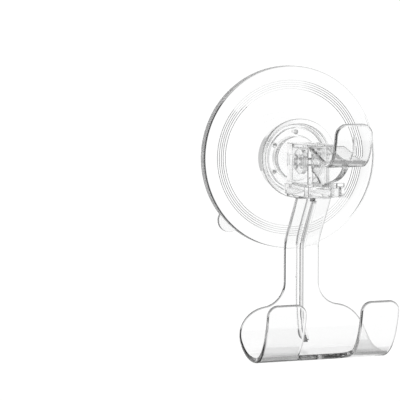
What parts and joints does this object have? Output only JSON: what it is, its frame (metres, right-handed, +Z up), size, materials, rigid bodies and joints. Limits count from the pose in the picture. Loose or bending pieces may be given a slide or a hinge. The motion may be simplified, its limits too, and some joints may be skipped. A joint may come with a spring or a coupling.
{
  "type": "suction razor holder",
  "caption": "Clear lever-lock suction holder for a wall: soft cup, hollow block with swing-up lever hook, and an arm to a wide U-shaped razor tray.",
  "frame": {"origin": "centre of the suction cup on the wall plane", "axes": "+Z up, +Y into the wall along the cup axis, +X to the right seen from the room"},
  "size_m": [0.07, 0.0665, 0.1087],
  "materials": {
    "soft_clear": "clear soft PVC, polished",
    "insert_clear": "clear rigid plastic, polished",
    "housing_clear": "clear rigid plastic, polished",
    "tray_clear": "clear rigid plastic, polished",
    "lever_clear": "clear rigid plastic, polished",
    "pin_clear": "clear rigid plastic, polished"
  },
  "bodies": {
    "base": {"suction_cup": "soft_clear", "housing": "housing_clear", "razor_tray": "tray_clear"},
    "stud": {"stud_insert": "insert_clear", "lever_pin": "pin_clear", "pin_clip": "pin_clear"},
    "lever": {"lever_hook": "lever_clear"}
  },
  "joints": [
    {"name": "stud_slide", "type": "slide", "parent": "base", "child": "stud", "axis": [0, 1, 0], "range_m": [0, 0.0016]},
    {"name": "lever_swing", "type": "hinge", "parent": "stud", "child": "lever", "pos_m": [0, -0.0243, -0.0004], "axis": [-1, 0, 0], "range_deg": [0, 90]}
  ],
  "couplings": [
    {"joint": "stud_slide", "follows": "lever_swing", "m_per_rad": 0.0010185}
  ]
}
